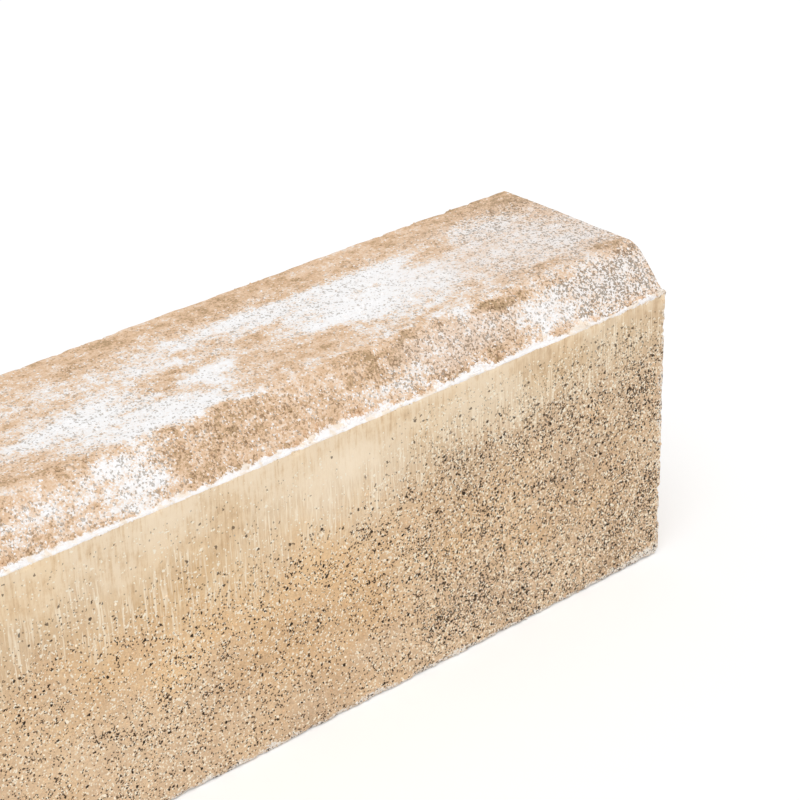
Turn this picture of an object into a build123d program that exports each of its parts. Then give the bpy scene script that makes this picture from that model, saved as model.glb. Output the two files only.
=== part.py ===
from build123d import *
import os

# Concrete kerb stone, pressed upright in one piece.
# Millimetres. X runs along the kerb, -Y is the road side, +Z is up.
# The origin is the middle of the bed face, which the stone stands on.

# Block
kerb_length = 1000.0
kerb_width = 150.0
kerb_height = 220.0

# Bevel from the top down to the road face, worn to a slight crown
bevel_run = 28.0
bevel_drop = 29.0
bevel_crown = 1.2
crease_radius = 12.0

# Lip along the foot of the bevel, where the press head stops short of the mould wall
lip_land = 2.0
lip_fall = 0.5

# Worn arrises
back_arris_radius = 1.5
foot_arris_radius = 4.0
end_arris = 1.5

# Section, seen along the kerb
road_side = -kerb_width / 2
back_side = kerb_width / 2
crease_y = road_side + bevel_run
lip_inner_y = road_side + lip_land
lip_outer_z = kerb_height - bevel_drop
lip_inner_z = lip_outer_z + lip_fall

road_foot = (road_side, 0)
lip_outer = (road_side, lip_outer_z)
lip_inner = (lip_inner_y, lip_inner_z)
crease = (crease_y, kerb_height)
back_top = (back_side, kerb_height)
back_foot = (back_side, 0)

rounded_corners = [
    (crease, crease_radius),
    (back_top, back_arris_radius),
    (road_foot, foot_arris_radius),
    (back_foot, foot_arris_radius),
]

with BuildPart() as kerb_stone:
    with BuildSketch(Plane.YZ) as section:
        with BuildLine():
            Polyline(crease, back_top, back_foot, road_foot, lip_outer, lip_inner)
            SagittaArc(lip_inner, crease, bevel_crown)
        make_face()
        for corner, radius in rounded_corners:
            fillet(section.vertices().sort_by_distance(corner)[0], radius)
    extrude(amount=kerb_length / 2, both=True)
    end_faces = kerb_stone.faces().filter_by(Axis.X)
    chamfer(end_faces.edges(), end_arris)

kerb_stone.part.label = "kerb_stone"

os.makedirs("parts", exist_ok=True)
export_step(kerb_stone.part, "parts/kerb_stone.step")
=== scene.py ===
"""Weathered concrete kerb stone: one pressed block with its sand grains, in a plain white studio."""

import logging
import math
from dataclasses import dataclass, field
from enum import Enum
from typing import Any

import bpy
import numpy as np
from mathutils import Matrix, Vector


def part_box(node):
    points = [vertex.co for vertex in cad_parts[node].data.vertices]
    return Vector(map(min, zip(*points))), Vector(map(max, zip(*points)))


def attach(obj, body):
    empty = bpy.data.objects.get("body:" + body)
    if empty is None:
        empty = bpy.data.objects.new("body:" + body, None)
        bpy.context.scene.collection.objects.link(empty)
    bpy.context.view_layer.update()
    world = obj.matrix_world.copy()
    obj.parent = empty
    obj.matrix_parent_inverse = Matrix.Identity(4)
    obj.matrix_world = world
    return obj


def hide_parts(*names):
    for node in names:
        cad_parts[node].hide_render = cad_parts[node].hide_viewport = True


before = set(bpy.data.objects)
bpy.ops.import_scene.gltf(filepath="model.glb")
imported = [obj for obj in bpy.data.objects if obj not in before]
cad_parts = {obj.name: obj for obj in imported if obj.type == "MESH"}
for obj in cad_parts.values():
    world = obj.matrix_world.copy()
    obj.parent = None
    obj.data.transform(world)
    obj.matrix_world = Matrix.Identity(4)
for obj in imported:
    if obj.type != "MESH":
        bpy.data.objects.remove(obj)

LOG = logging.getLogger("kerb_stone")
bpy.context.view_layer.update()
CAD_NODE = "kerb_stone"
BODY = "root"

Colour = tuple[float, float, float]
Place = tuple[float, float, float]
Span = tuple[float, float]
Shades = tuple[tuple[float, Colour], ...]
Socket = bpy.types.NodeSocket
WHITE = (1.0, 1.0, 1.0, 1.0)
FINE_SAMPLES = 20001
TINY = 1e-6


class Zone(Enum):
    """Faces of the block, in the order in which the section's outline runs round it, and its ends."""

    BACK = 0
    TOP = 1
    BEVEL = 2
    LIP = 3
    ROAD = 4
    BED = 5
    END = 6


class Trait(Enum):
    """Weathering that the skin carries at each point, for its finish and its grains."""

    CAST = "cast"
    LIME = "lime"
    OPEN_GRAIN = "open_grain"
    RUST = "rust"
    FILM = "film"
    SPECKLE = "speckle"
    LIP = "lip"
    FRESH = "fresh"
    GRIT_COVER = "grit_cover"
    CRUMB_COVER = "crumb_cover"


def smooth_step(low: float, high: float, value: np.ndarray) -> np.ndarray:
    """Eases values from 0 at low to 1 at high; with high below low, they ease out instead."""
    share = np.clip((value - low) / (high - low), 0.0, 1.0)
    return share * share * (3.0 - 2.0 * share)


@dataclass(frozen=True)
class Ramp:
    """A share that eases in from a start to an end; where the end is below the start, it eases out."""

    start: float
    end: float
    top: float = 1.0

    def at(self, value: np.ndarray) -> np.ndarray:
        """Gives the share at each value, up to the ramp's top."""
        return self.top * smooth_step(self.start, self.end, value)


def graded_stations(distance: np.ndarray, spacing: np.ndarray) -> np.ndarray:
    """Places stations along a line so that neighbours stand about the asked spacing apart.

    Args:
        distance: finely spaced distances along the line, rising.
        spacing: the spacing asked for at each of them.

    Returns:
        The stations' distances, the line's two ends included.
    """
    density = 1.0 / spacing
    steps = np.diff(distance) * 0.5 * (density[1:] + density[:-1])
    count = np.concatenate(([0.0], np.cumsum(steps)))
    return np.interp(np.linspace(0.0, count[-1], round(count[-1]) + 1), count, distance)


class RandomLattice:
    """Smooth random values from -1 to 1 on a seeded lattice."""

    CELLS = 512

    def __init__(self, seed: int) -> None:
        """Fills the lattice from its seed."""
        self.values = np.random.default_rng(seed).uniform(-1.0, 1.0, (self.CELLS, self.CELLS))

    def at(self, u: np.ndarray, v: np.ndarray, wave_u: float, wave_v: float) -> np.ndarray:
        """Reads the lattice at places on a surface.

        Args:
            u: first coordinate of each place.
            v: second coordinate of each place.
            wave_u: length of a lattice step along u.
            wave_v: length of a lattice step along v.

        Returns:
            A value for each place.
        """
        u, v = np.broadcast_arrays(u / wave_u, v / wave_v)
        low_u = np.floor(u).astype(int)
        low_v = np.floor(v).astype(int)
        part_u = smooth_step(0.0, 1.0, u - low_u)
        part_v = smooth_step(0.0, 1.0, v - low_v)
        this_u, next_u = low_u % self.CELLS, (low_u + 1) % self.CELLS
        this_v, next_v = low_v % self.CELLS, (low_v + 1) % self.CELLS
        near = self.values[this_u, this_v] * (1 - part_v) + self.values[this_u, next_v] * part_v
        far = self.values[next_u, this_v] * (1 - part_v) + self.values[next_u, next_v] * part_v
        return near * (1 - part_u) + far * part_u


@dataclass(frozen=True)
class Ripple:
    """An unevenness read from a lattice: its strength, and its waves' lengths and shifts both ways."""

    strength: float
    wave_u: float
    wave_v: float = 1.0
    shift_u: float = 0.0
    shift_v: float = 0.0

    def on_face(self, lattice: RandomLattice, u: np.ndarray, v: np.ndarray) -> np.ndarray:
        """Gives the unevenness at places on a surface."""
        return self.strength * lattice.at(u + self.shift_u, v + self.shift_v, self.wave_u, self.wave_v)

    def on_line(self, lattice: RandomLattice, u: np.ndarray) -> np.ndarray:
        """Gives the unevenness at places on a line."""
        return self.on_face(lattice, u, np.zeros(np.shape(u)))


@dataclass(frozen=True)
class Patch:
    """A soft oval mark: metres from the far end, and across from the back arris or down from the lip."""

    along: float
    across: float
    half_length: float
    half_width: float
    amount: float

    RIM = Ramp(1.6, 0.4)

    def cover(self, along: np.ndarray, across: np.ndarray) -> np.ndarray:
        """Gives how much of the mark lies on each place, easing off past its rim."""
        reach = np.hypot((along - self.along) / self.half_length, (across - self.across) / self.half_width)
        return self.amount * self.RIM.at(reach)


Marks = tuple[Patch, ...]


@dataclass
class Outline:
    """The section's outline, sampled: places, outward normals, faces and distances round it."""

    place: np.ndarray
    normal: np.ndarray
    zone: np.ndarray
    across: np.ndarray
    from_corner: np.ndarray


@dataclass
class KerbSection:
    """The block's section, seen along the kerb: the road side is at the left, the back at the right."""

    width: float
    height: float
    bevel_run: float = 0.028
    bevel_drop: float = 0.029
    bevel_crown: float = 0.0012
    lip_land: float = 0.002
    lip_fall: float = 0.0005
    crease_radius: float = 0.012
    back_arris_radius: float = 0.0015
    foot_arris_radius: float = 0.0022
    corner_spacing: float = 0.0010
    spacing_growth: float = 0.25
    spacings: dict[Zone, float] = field(default_factory=lambda: {
        Zone.BACK: 0.0085,
        Zone.TOP: 0.0025,
        Zone.BEVEL: 0.0018,
        Zone.LIP: 0.0008,
        Zone.ROAD: 0.0027,
        Zone.BED: 0.020,
    })

    @property
    def lip_height(self) -> float:
        """The height of the lip, where the road face ends."""
        return self.height - self.bevel_drop

    @property
    def crease_across(self) -> float:
        """The way over the top from the back arris to the crease."""
        return self.width - self.bevel_run

    @property
    def lip_across(self) -> float:
        """The way over the top and the bevel from the back arris to the lip's outer edge."""
        slope = math.hypot(self.bevel_run - self.lip_land, self.bevel_drop - self.lip_fall)
        return self.crease_across + slope + math.hypot(self.lip_land, self.lip_fall)

    def corners(self) -> list[tuple[float, float, float]]:
        """Lists the section's corners, from the back foot upwards.

        Returns:
            The corners as (y, z, radius).
        """
        road = -self.width / 2
        back = self.width / 2
        return [
            (back, 0.0, self.foot_arris_radius),
            (back, self.height, self.back_arris_radius),
            (road + self.bevel_run, self.height, self.crease_radius),
            (road + self.lip_land, self.lip_height + self.lip_fall, 0.0),
            (road, self.lip_height, 0.0),
            (road, 0.0, self.foot_arris_radius),
        ]

    def outline(self) -> Outline:
        """Samples the outline, closer near the corners, with the rounded corners bent onto their arcs.

        Returns:
            The sampled outline, without a repeated last point.
        """
        corners = np.array(self.corners())
        sharp = corners[:, :2]
        runs = np.roll(sharp, -1, axis=0) - sharp
        lengths = np.hypot(*runs.T)
        heading = runs / lengths[:, None]
        turn = np.arctan2(heading[:, 1], heading[:, 0])
        turn = np.remainder(turn - np.roll(turn, 1) + math.pi, 2 * math.pi) - math.pi
        tangent = corners[:, 2] * np.tan(turn / 2)
        ends = np.concatenate(([0.0], np.cumsum(lengths)))

        fine = np.linspace(0.0, ends[-1], FINE_SAMPLES)
        run = np.clip(np.searchsorted(ends, fine, side="right") - 1, 0, len(lengths) - 1)
        gap = np.abs(fine[:, None] - ends[None, :]).min(axis=1)
        widest = np.array([self.spacings[Zone(index)] for index in run])
        spacing = np.minimum(widest, self.corner_spacing + self.spacing_growth * gap)
        stations = graded_stations(fine, spacing)[:-1]

        run = np.clip(np.searchsorted(ends, stations, side="right") - 1, 0, len(lengths) - 1)
        following = (run + 1) % len(lengths)
        from_start = stations - ends[run]
        from_end = ends[run + 1] - stations
        side = np.stack((heading[run, 1], -heading[run, 0]), axis=1)
        place = sharp[run] + heading[run] * from_start[:, None]
        bend = np.zeros(len(stations))
        for distance, corner, sense in ((from_start, run, -1.0), (from_end, following, 1.0)):
            reach = tangent[corner]
            near = (reach > 0) & (distance < reach)
            angle = sense * 0.5 * turn[corner] * (1.0 - distance / np.where(reach > 0, reach, 1.0))
            bend = np.where(near, angle, bend)
            radius = corners[corner, 2][:, None]
            touch = sharp[corner] - sense * heading[run] * reach[:, None]
            turned = self.rotated(side, angle)
            place = np.where(near[:, None], touch - side * radius + turned * radius, place)
        way = from_start / lengths[run]
        crown = np.where(run == Zone.BEVEL.value, self.bevel_crown * 4.0 * way * (1.0 - way), 0.0)
        place = place + side * crown[:, None]
        return Outline(
            place=place,
            normal=self.rotated(side, bend),
            zone=run,
            across=stations - lengths[Zone.BACK.value],
            from_corner=np.minimum(from_start, from_end),
        )

    @staticmethod
    def rotated(direction: np.ndarray, angle: np.ndarray) -> np.ndarray:
        """Turns plane directions, each by its own angle.

        Args:
            direction: one direction in each row.
            angle: the angles, in radians.

        Returns:
            The turned directions.
        """
        cos, sin = np.cos(angle), np.sin(angle)
        turned_y = direction[:, 0] * cos - direction[:, 1] * sin
        turned_z = direction[:, 0] * sin + direction[:, 1] * cos
        return np.stack((turned_y, turned_z), axis=1)


@dataclass
class SkinPoints:
    """Where points of the skin lie: from the far end, over the top, and below a cast face's upper edge."""

    along: np.ndarray
    across: np.ndarray
    fall: np.ndarray
    zone: np.ndarray
    height: np.ndarray

    def on(self, *zones: Zone) -> np.ndarray:
        """Tells which points lie on one of some faces."""
        return np.isin(self.zone, [zone.value for zone in zones])

    @property
    def struck(self) -> np.ndarray:
        """Tells which points lie on the faces that the press head struck."""
        return self.on(Zone.TOP, Zone.BEVEL, Zone.LIP)


@dataclass
class Weathering:
    """Where the lime bloom, the stains, the slurry and the wear lie on the block."""

    length: float
    crease: float
    lip: float
    seed: int = 7
    blooms: Marks = (
        Patch(0.210, 0.040, 0.092, 0.011, 0.84),
        Patch(0.172, 0.067, 0.056, 0.028, 0.95),
        Patch(0.050, 0.068, 0.068, 0.046, 0.27),
        Patch(0.060, 0.040, 0.030, 0.013, 0.50),
        Patch(0.038, 0.082, 0.018, 0.010, 0.50),
        Patch(0.311, 0.086, 0.014, 0.011, 0.80),
        Patch(0.328, 0.056, 0.016, 0.007, 0.60),
        Patch(0.358, 0.106, 0.034, 0.016, 0.90),
        Patch(0.400, 0.090, 0.040, 0.022, 0.75),
        Patch(0.366, 0.1185, 0.012, 0.0030, 0.60),
        Patch(0.338, 0.1170, 0.009, 0.0028, 0.60),
        Patch(0.312, 0.1190, 0.008, 0.0028, 0.50),
        Patch(0.190, 0.1185, 0.007, 0.0032, 0.55),
        Patch(0.162, 0.1170, 0.010, 0.0030, 0.60),
        Patch(0.143, 0.1195, 0.006, 0.0035, 0.60),
        Patch(0.149, 0.1235, 0.007, 0.0050, 0.70),
        Patch(0.115, 0.1175, 0.014, 0.0030, 0.50),
        Patch(0.150, 0.1390, 0.046, 0.0110, 0.30),
        Patch(0.406, 0.143, 0.022, 0.020, 0.85),
        Patch(0.215, 0.151, 0.036, 0.008, 0.45),
        Patch(0.092, 0.141, 0.026, 0.013, 0.90),
        Patch(0.036, 0.143, 0.044, 0.016, 0.80),
        Patch(0.062, 0.150, 0.030, 0.010, 0.60),
    )
    stains: Marks = (
        Patch(0.105, 0.043, 0.020, 0.011, 0.75),
        Patch(0.022, 0.022, 0.026, 0.010, 0.50),
        Patch(0.003, 0.038, 0.022, 0.030, 0.42),
        Patch(0.262, 0.100, 0.052, 0.016, 0.28),
        Patch(0.338, 0.076, 0.012, 0.009, 0.40),
        Patch(0.270, 0.064, 0.018, 0.006, 0.25),
        Patch(0.017, 0.115, 0.008, 0.008, 0.75),
        Patch(0.068, 0.110, 0.016, 0.007, 0.70),
        Patch(0.006, 0.140, 0.007, 0.008, 0.55),
        Patch(0.362, 0.123, 0.008, 0.004, 0.60),
        Patch(0.331, 0.123, 0.016, 0.005, 0.60),
        Patch(0.232, 0.123, 0.012, 0.004, 0.55),
        Patch(0.194, 0.124, 0.009, 0.004, 0.60),
        Patch(0.1300, 0.1268, 0.0095, 0.0060, 1.00),
        Patch(0.1120, 0.1295, 0.0090, 0.0028, 0.40),
        Patch(0.355, 0.140, 0.040, 0.017, 0.16),
        Patch(0.245, 0.136, 0.080, 0.014, 0.10),
    )
    slurry_blooms: Marks = (
        Patch(0.272, 0.040, 0.040, 0.024, 0.95),
        Patch(0.150, 0.028, 0.050, 0.012, 0.35),
        Patch(0.320, 0.030, 0.030, 0.040, 0.30),
        Patch(0.370, 0.085, 0.080, 0.025, 0.45),
    )
    slurry_stains: Marks = (
        Patch(0.060, 0.008, 0.090, 0.012, 0.40),
        Patch(0.200, 0.006, 0.080, 0.006, 0.25),
        Patch(0.356, 0.028, 0.030, 0.024, 0.55),
        Patch(0.400, 0.050, 0.030, 0.020, 0.30),
        Patch(0.060, 0.070, 0.060, 0.040, 0.25),
    )
    films: Marks = (
        Patch(0.030, 0.070, 0.095, 0.046, 0.90),
        Patch(0.165, 0.138, 0.050, 0.013, 0.75),
        Patch(0.025, 0.140, 0.055, 0.016, 0.75),
    )
    rust_marks: Marks = (
        Patch(0.170, 0.105, 0.080, 0.045, 0.55),
        Patch(0.300, 0.105, 0.080, 0.050, 1.00),
        Patch(0.390, 0.080, 0.080, 0.040, 1.00),
        Patch(0.075, 0.115, 0.040, 0.030, 0.25),
    )
    pit_beds: Marks = (
        Patch(0.021, 0.048, 0.032, 0.032, 0.9),
        Patch(0.105, 0.050, 0.068, 0.011, 0.8),
        Patch(0.186, 0.058, 0.020, 0.012, 0.7),
        Patch(0.163, 0.160, 0.045, 0.022, 0.9),
        Patch(0.092, 0.172, 0.045, 0.018, 0.8),
        Patch(0.018, 0.150, 0.024, 0.042, 0.8),
        Patch(0.216, 0.104, 0.026, 0.018, 0.7),
        Patch(0.270, 0.100, 0.030, 0.020, 0.7),
    )
    rim_along: Ripple = Ripple(0.012, 0.030, 0.006)
    rim_across: Ripple = Ripple(0.004, 0.022, 0.008)

    # Marks past the listed ones
    unseen_from: float = 0.46
    unseen_end_gap: float = 0.02
    unseen_marks: int = 12
    unseen_jitter: Span = (-0.02, 0.02)
    unseen_back_gap: float = 0.035
    unseen_lip_gap: float = 0.012
    unseen_half_lengths: Span = (0.02, 0.065)
    unseen_half_widths: Span = (0.008, 0.024)
    faintest_mark: float = 0.35
    strongest_bloom: float = 1.0
    strongest_stain: float = 0.7

    # The top, the bevel and the bare strip along the back arris
    top_level: float = 0.06
    bevel_level: float = -0.30
    crease_rag: Ripple = Ripple(0.007, 0.009, 0.009)
    crease_edge: Ramp = Ramp(-0.006, 0.006)
    far_rag: Ripple = Ripple(0.02, 0.03, 0.03)
    far_wear: Ramp = Ramp(0.10, 0.05)
    strip_level: float = -0.34
    strip_far_drop: Ramp = Ramp(0.12, 0.06, 0.24)
    strip_width: float = 0.029
    strip_end_width: float = 0.021
    strip_widening: Ramp = Ramp(0.06, 0.10)
    strip_rag: Ripple = Ripple(0.005, 0.035)
    strip_edge: Ramp = Ramp(0.007, -0.006)

    # Slurry on the cast faces: distances from the far end and how far below the lip it reaches there
    slurry_reach: tuple[Span, ...] = (
        (0.00, 0.032), (0.04, 0.034), (0.07, 0.037), (0.10, 0.041), (0.15, 0.047), (0.21, 0.051),
        (0.24, 0.048), (0.27, 0.054), (0.30, 0.057), (0.33, 0.060), (0.36, 0.058), (0.42, 0.060),
        (0.55, 0.050), (0.66, 0.062), (0.75, 0.070), (0.88, 0.045), (1.00, 0.030),
    )
    slurry_edge: Ramp = Ramp(-0.034, 0.032)
    slurry_rag: Ripple = Ripple(0.012, 0.030, 0.040)
    slurry_fingers: Ripple = Ripple(0.007, 0.006, 0.030)
    slurry_level: float = 0.12
    slurry_clouds: Ripple = Ripple(0.3, 0.05, 0.06, 7.0)
    dull_below: Ramp = Ramp(0.07, 0.15, 0.30)
    dull_until: Ramp = Ramp(0.36, 0.26)

    # Pale grains, and the pits that are painted with shade
    most_speckle: float = 1.25
    speckle_patches: Ripple = Ripple(0.12, 0.035, 0.020, 3.0)
    top_speckle: float = 0.46
    top_far_speckle: float = 0.29
    bevel_speckle: float = 0.60
    bevel_grey_speckle: float = 0.24
    bevel_far_speckle: float = 0.54
    grey_until: Ramp = Ramp(0.23, 0.17)
    grey_from: Ramp = Ramp(0.105, 0.130)
    strip_calm: Ramp = Ramp(0.003, -0.003, 0.45)
    strip_calm_width: float = 0.0189
    slurry_speckle: float = 0.06
    slurry_far_speckle: Ramp = Ramp(0.27, 0.18, 0.34)
    slurry_near_speckle: Ramp = Ramp(0.30, 0.35, 0.10)
    speckle_below: Ramp = Ramp(0.002, 0.014)
    grain_speckle: float = 0.56
    bed_speckle: float = 0.24

    # Rust in the open grain
    rust_patches: Ripple = Ripple(0.35, 0.024, 0.022, 5.0)
    unseen_rust: Ramp = Ramp(0.44, 0.50, 0.4)

    # White crest of the lip, with its bulges as distance from the far end, half length and rise
    crest_width: float = 0.0044
    crest_least: float = 0.0017
    crest_bulges: tuple[tuple[float, float, float], ...] = ((0.270, 0.020, 0.0016), (0.338, 0.014, 0.0014))
    crest_rag: Ripple = Ripple(0.0018, 0.013)
    crest_fine_rag: Ripple = Ripple(0.0011, 0.0055, 1.0, 0.0, 9.5)
    crest_thinning: Ramp = Ramp(0.10, 0.03, 0.0012)
    overhang: float = 0.0008
    overhang_rag: Ripple = Ripple(0.0007, 0.008, 1.0, 0.0, 4.5)
    overhang_edge: Ramp = Ramp(1.3, 0.0, 0.52)
    crumb_patches: Ripple = Ripple(1.0, 0.016)
    crumb_patch_edge: Ramp = Ramp(-0.3, 0.6)
    crumb_inner_edge: Ramp = Ramp(0.05, 0.45)
    crumb_outer_edge: Ramp = Ramp(0.95, 0.6)

    # Crumbled foot and the sand on each face
    foot_rag: Ripple = Ripple(0.003, 0.008, 0.02)
    foot_reach: float = 0.0045
    foot_far_reach: Ramp = Ramp(0.05, 0.0, 0.0085)
    foot_crumble: Ramp = Ramp(1.0, 0.5, 0.78)
    end_crumble: Ramp = Ramp(0.005, 0.001, 0.55)
    top_grit: float = 0.20
    bevel_grit: float = 0.45
    bevel_far_grit: float = 0.35
    road_grit: float = 0.85
    foot_grit: float = 1.2
    other_grit: float = 0.40

    def __post_init__(self) -> None:
        """Adds marks like the listed ones to the stretch past them, and seeds the random fields."""
        draw = np.random.default_rng(self.seed)
        self.blooms += self.unseen(draw, self.strongest_bloom)
        self.stains += self.unseen(draw, self.strongest_stain)
        self.broad = RandomLattice(self.seed + 1)
        self.wisp = RandomLattice(self.seed + 2)
        self.ragged = RandomLattice(self.seed + 3)
        self.rough = RandomLattice(self.seed + 4)

    def unseen(self, draw: np.random.Generator, strongest: float) -> Marks:
        """Draws marks for the stretch past the listed ones.

        Args:
            draw: the source of random numbers.
            strongest: the highest amount of a mark.

        Returns:
            The marks, in their order along the block.
        """
        return tuple(
            Patch(
                along=along + draw.uniform(*self.unseen_jitter),
                across=draw.uniform(self.unseen_back_gap, self.lip - self.unseen_lip_gap),
                half_length=draw.uniform(*self.unseen_half_lengths),
                half_width=draw.uniform(*self.unseen_half_widths),
                amount=draw.uniform(self.faintest_mark, strongest),
            )
            for along in np.linspace(self.unseen_from, self.length - self.unseen_end_gap, self.unseen_marks)
        )

    def marked(self, marks: Marks, along: np.ndarray, across: np.ndarray) -> np.ndarray:
        """Lays marks over a face, with their rims drawn out along the block.

        Args:
            marks: the marks to lay.
            along: distances from the far end.
            across: distances across the face.

        Returns:
            The strongest mark at each place.
        """
        shifted_along = along + self.rim_along.on_face(self.wisp, along, across)
        shifted_across = across + self.rim_across.on_face(self.wisp, along, across)
        cover = np.zeros(np.broadcast(along, across).shape)
        for mark in marks:
            cover = np.maximum(cover, mark.cover(shifted_along, shifted_across))
        return cover

    def bevel_share(self, points: SkinPoints) -> np.ndarray:
        """Gives how far a point of the struck faces is on the bevel, from 0 to 1, over a ragged crease."""
        rag = self.crease_rag.on_face(self.ragged, points.along, points.across)
        return self.crease_edge.at(points.across - self.crease + rag)

    def far_share(self, points: SkinPoints) -> np.ndarray:
        """Gives how close a point is to the worn far end, from 0 to 1."""
        rag = self.far_rag.on_face(self.broad, points.along, points.across)
        return self.far_wear.at(points.along + rag)

    def struck_lime(self, points: SkinPoints) -> np.ndarray:
        """Works out the level of lime on the struck faces.

        Args:
            points: the points of the skin.

        Returns:
            The level, about -1 in dark stains and 1 in white bloom.
        """
        along, across = points.along, points.across
        level = self.top_level + (self.bevel_level - self.top_level) * self.bevel_share(points)
        level = level + self.marked(self.blooms, along, across) - self.marked(self.stains, along, across)
        widening = self.strip_widening.at(along)
        width = self.strip_end_width + (self.strip_width - self.strip_end_width) * widening
        width = width + self.strip_rag.on_line(self.wisp, along)
        strip_level = self.strip_level - self.strip_far_drop.at(along)
        return level + (strip_level - level) * self.strip_edge.at(across - width)

    def slurry_lime(self, points: SkinPoints) -> np.ndarray:
        """Works out the level of lime on the cast faces.

        Args:
            points: the points of the skin.

        Returns:
            The level, about -1 in dull slurry and 1 in pale slurry.
        """
        along, fall = points.along, points.fall
        level = self.marked(self.slurry_blooms, along, fall) - self.marked(self.slurry_stains, along, fall)
        level = level + self.slurry_level + self.slurry_clouds.on_face(self.broad, along, fall)
        return level - self.dull_below.at(fall) * self.dull_until.at(along)

    def lime(self, points: SkinPoints) -> np.ndarray:
        """Gives the level of lime on every face, from -1 to 1."""
        level = np.where(points.struck, self.struck_lime(points), self.slurry_lime(points))
        return np.clip(level, -1.0, 1.0)

    def open_grain(self, points: SkinPoints) -> np.ndarray:
        """Works out how open-grained the cast faces are.

        Args:
            points: the points of the skin.

        Returns:
            Shares, from 0 in the slurry to 1 below it.
        """
        rag = self.slurry_rag.on_face(self.broad, points.along, points.fall)
        rag = rag + self.slurry_fingers.on_face(self.ragged, points.along, points.fall)
        reach = np.interp(points.along, *np.transpose(self.slurry_reach))
        return self.slurry_edge.at(points.fall - reach + rag)

    def speckle(self, points: SkinPoints) -> np.ndarray:
        """Works out how strongly pale grains, and pits painted with shade, stand out of the surface.

        Args:
            points: the points of the skin.

        Returns:
            Strengths, from 0 to the most speckle.
        """
        along, across, fall = points.along, points.across, points.fall
        far = self.far_share(points)
        bevel = self.bevel_share(points)
        patchy = self.speckle_patches.on_face(self.broad, along, across)
        greyed = self.grey_until.at(along) * self.grey_from.at(along)
        on_top = self.top_speckle + self.top_far_speckle * far
        on_bevel = self.bevel_speckle + self.bevel_grey_speckle * greyed + self.bevel_far_speckle * far
        struck = on_top * (1.0 - bevel) + on_bevel * bevel + patchy
        struck = struck * (1.0 - self.strip_calm.at(across - self.strip_calm_width))
        in_slurry = self.slurry_speckle + self.slurry_far_speckle.at(along)
        in_slurry = in_slurry + self.slurry_near_speckle.at(along)
        in_slurry = in_slurry * self.speckle_below.at(fall)
        in_grain = self.grain_speckle + self.bed_speckle * self.marked(self.pit_beds, along, fall)
        cast = in_slurry + self.open_grain(points) * in_grain + patchy
        return np.clip(np.where(points.struck, struck, cast), 0.0, self.most_speckle)

    def film(self, points: SkinPoints) -> np.ndarray:
        """Works out how thick the dull film on the struck faces is.

        Args:
            points: the points of the skin.

        Returns:
            Shares, from 0 to 1.
        """
        film = self.marked(self.films, points.along, points.across)
        clear = 1.0 - self.marked(self.stains, points.along, points.across)
        return np.where(points.struck, film * clear, 0.0)

    def rust(self, points: SkinPoints) -> np.ndarray:
        """Works out how orange the open grain is.

        Args:
            points: the points of the skin.

        Returns:
            Shares, from 0 to 1.
        """
        patchy = self.rust_patches.on_face(self.broad, points.along, points.fall)
        listed = self.marked(self.rust_marks, points.along, points.fall)
        marks = np.maximum(listed, self.unseen_rust.at(points.along))
        return np.where(points.struck, 0.0, np.clip(marks + patchy, 0.0, 1.0))

    def lip_width(self, along: np.ndarray) -> np.ndarray:
        """Works out the width of the lip's white crest.

        Args:
            along: distances from the far end.

        Returns:
            The width at each of them.
        """
        thick = sum(rise * np.exp(-(((along - at) / half) ** 2)) for at, half, rise in self.crest_bulges)
        coarse = self.crest_rag.on_line(self.ragged, along)
        fine = self.crest_fine_rag.on_line(self.ragged, along)
        width = self.crest_width + thick + coarse + fine - self.crest_thinning.at(along)
        return np.clip(width, self.crest_least, None)

    def lip_share(self, points: SkinPoints) -> np.ndarray:
        """Works out how far a point lies within the lip's white crest.

        Args:
            points: the points of the skin.

        Returns:
            1 on the lip's outer edge, a half at the inner edge of the crest, and 0 past that.
        """
        inwards = np.clip(1.0 - 0.5 * (self.lip - points.across) / self.lip_width(points.along), 0.0, 1.0)
        overhang = self.overhang + self.overhang_rag.on_line(self.ragged, points.along)
        downwards = self.overhang_edge.at(points.fall / overhang)
        return np.where(points.struck, inwards, np.where(points.on(Zone.ROAD), downwards, 0.0))

    def foot(self, points: SkinPoints) -> np.ndarray:
        """Works out the crumbled band along the foot, wider towards the far end, and up the far end.

        Args:
            points: the points of the skin.

        Returns:
            Shares, from 0 to 1.
        """
        road = points.on(Zone.ROAD)
        rag = self.foot_rag.on_face(self.ragged, points.along + points.across, points.fall)
        reach = self.foot_reach + self.foot_far_reach.at(points.along) * road
        end = self.end_crumble.at(points.along + rag) * road
        return np.maximum(self.foot_crumble.at((points.height + rag) / reach), end)

    def grit_cover(self, points: SkinPoints) -> np.ndarray:
        """Works out how much sand stands out of each face.

        Args:
            points: the points of the skin.

        Returns:
            Shares of the densest sand.
        """
        grain = self.open_grain(points)
        on_bevel = self.bevel_grit + self.bevel_far_grit * self.far_share(points)
        struck = self.top_grit + on_bevel * self.bevel_share(points)
        road = np.maximum(self.road_grit * grain**2, self.foot_grit * self.foot(points))
        faces = [points.on(Zone.BED), points.on(Zone.ROAD)]
        return np.where(points.struck, struck, np.select(faces, [0.0, road], self.other_grit * grain))

    def crumb_cover(self, points: SkinPoints) -> np.ndarray:
        """Works out where white crumbs lie along the lip's inner edge.

        Args:
            points: the points of the skin.

        Returns:
            Shares of the densest crumbs.
        """
        patchy = self.crumb_patch_edge.at(self.crumb_patches.on_line(self.broad, points.along))
        lip = self.lip_share(points)
        near = self.crumb_inner_edge.at(lip) * self.crumb_outer_edge.at(lip)
        return np.where(points.struck, near * patchy, 0.0)

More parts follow.
